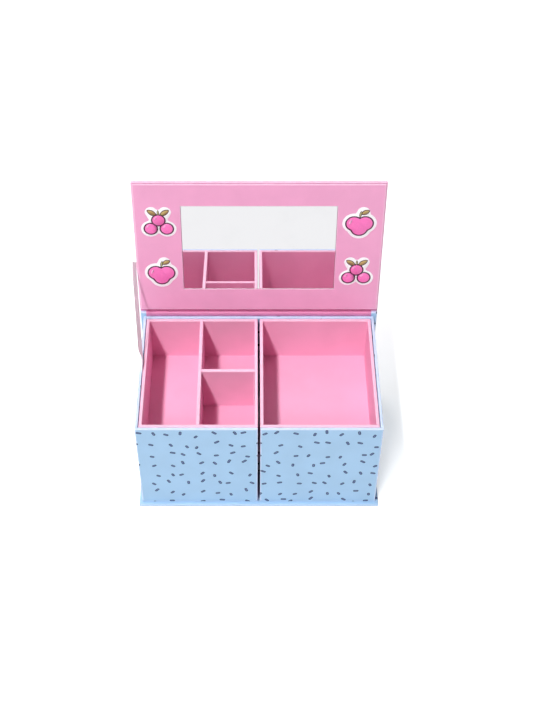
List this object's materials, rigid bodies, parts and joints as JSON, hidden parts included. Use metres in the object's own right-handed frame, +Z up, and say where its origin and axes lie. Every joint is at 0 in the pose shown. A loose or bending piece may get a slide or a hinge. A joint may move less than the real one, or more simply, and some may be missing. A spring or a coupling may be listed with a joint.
{
  "type": "jewellery box",
  "caption": "Paper-wrapped board jewellery box: mirror lid on a paper hinge with a ribbon stay, side-by-side pull-out drawers, and divided lift-out trays on top.",
  "frame": {"origin": "centre of the base board's underside, where the box rests", "axes": "+Z up, -Y out of the front panels, +X to the right as seen from the front"},
  "size_m": [0.2266, 0.1639, 0.2616],
  "materials": {
    "printed_paper": "satin",
    "pink_paper": "satin",
    "mirror": "polished",
    "sticker_paper": "gloss",
    "satin_ribbon": "satin"
  },
  "bodies": {
    "case": {"base_board": "printed_paper", "base_liner": "printed_paper", "left_side_wall": "printed_paper", "right_side_wall": "printed_paper", "back_wall": "printed_paper", "spine_board": "printed_paper", "centre_partition": "printed_paper", "hinge_lining": "pink_paper", "lid_hinge_strip": "printed_paper", "lid_ribbon": "satin_ribbon"},
    "lid": {"lid_board": "pink_paper", "lid_liner": "pink_paper", "lid_mirror": "mirror", "upper_left_sticker": "sticker_paper", "upper_right_sticker": "sticker_paper", "lower_left_sticker": "sticker_paper", "lower_right_sticker": "sticker_paper"},
    "left_drawer": {"left_front_panel": "printed_paper", "left_drawer_floor": "pink_paper", "left_drawer_outer_wall": "pink_paper", "left_drawer_inner_wall": "pink_paper", "left_drawer_front_wall": "pink_paper", "left_drawer_back_wall": "pink_paper"},
    "left_tray": {"left_tray_floor": "pink_paper", "left_tray_outer_wall": "pink_paper", "left_tray_inner_wall": "pink_paper", "left_tray_front_wall": "pink_paper", "left_tray_back_wall": "pink_paper", "left_tray_long_divider": "pink_paper", "left_tray_cross_divider": "pink_paper"},
    "right_drawer": {"right_front_panel": "printed_paper", "right_drawer_floor": "pink_paper", "right_drawer_outer_wall": "pink_paper", "right_drawer_inner_wall": "pink_paper", "right_drawer_front_wall": "pink_paper", "right_drawer_back_wall": "pink_paper"},
    "right_tray": {"right_tray_floor": "pink_paper", "right_tray_outer_wall": "pink_paper", "right_tray_inner_wall": "pink_paper", "right_tray_front_wall": "pink_paper", "right_tray_back_wall": "pink_paper"}
  },
  "joints": [
    {"name": "lid_hinge", "type": "hinge", "parent": "case", "child": "lid", "pos_m": [0, 0.0726, 0.1172], "axis": [-1, 0, 0], "range_deg": [-97.4, 0], "deforming": ["lid_hinge_strip", "lid_ribbon"]},
    {"name": "left_drawer_slide", "type": "slide", "parent": "case", "child": "left_drawer", "axis": [0, -1, 0], "range_m": [0, 0.11]},
    {"name": "left_tray_lift", "type": "slide", "parent": "left_drawer", "child": "left_tray", "axis": [0, 0, 1], "range_m": [0, 0.06]},
    {"name": "right_drawer_slide", "type": "slide", "parent": "case", "child": "right_drawer", "axis": [0, -1, 0], "range_m": [0, 0.11]},
    {"name": "right_tray_lift", "type": "slide", "parent": "right_drawer", "child": "right_tray", "axis": [0, 0, 1], "range_m": [0, 0.06]}
  ]
}
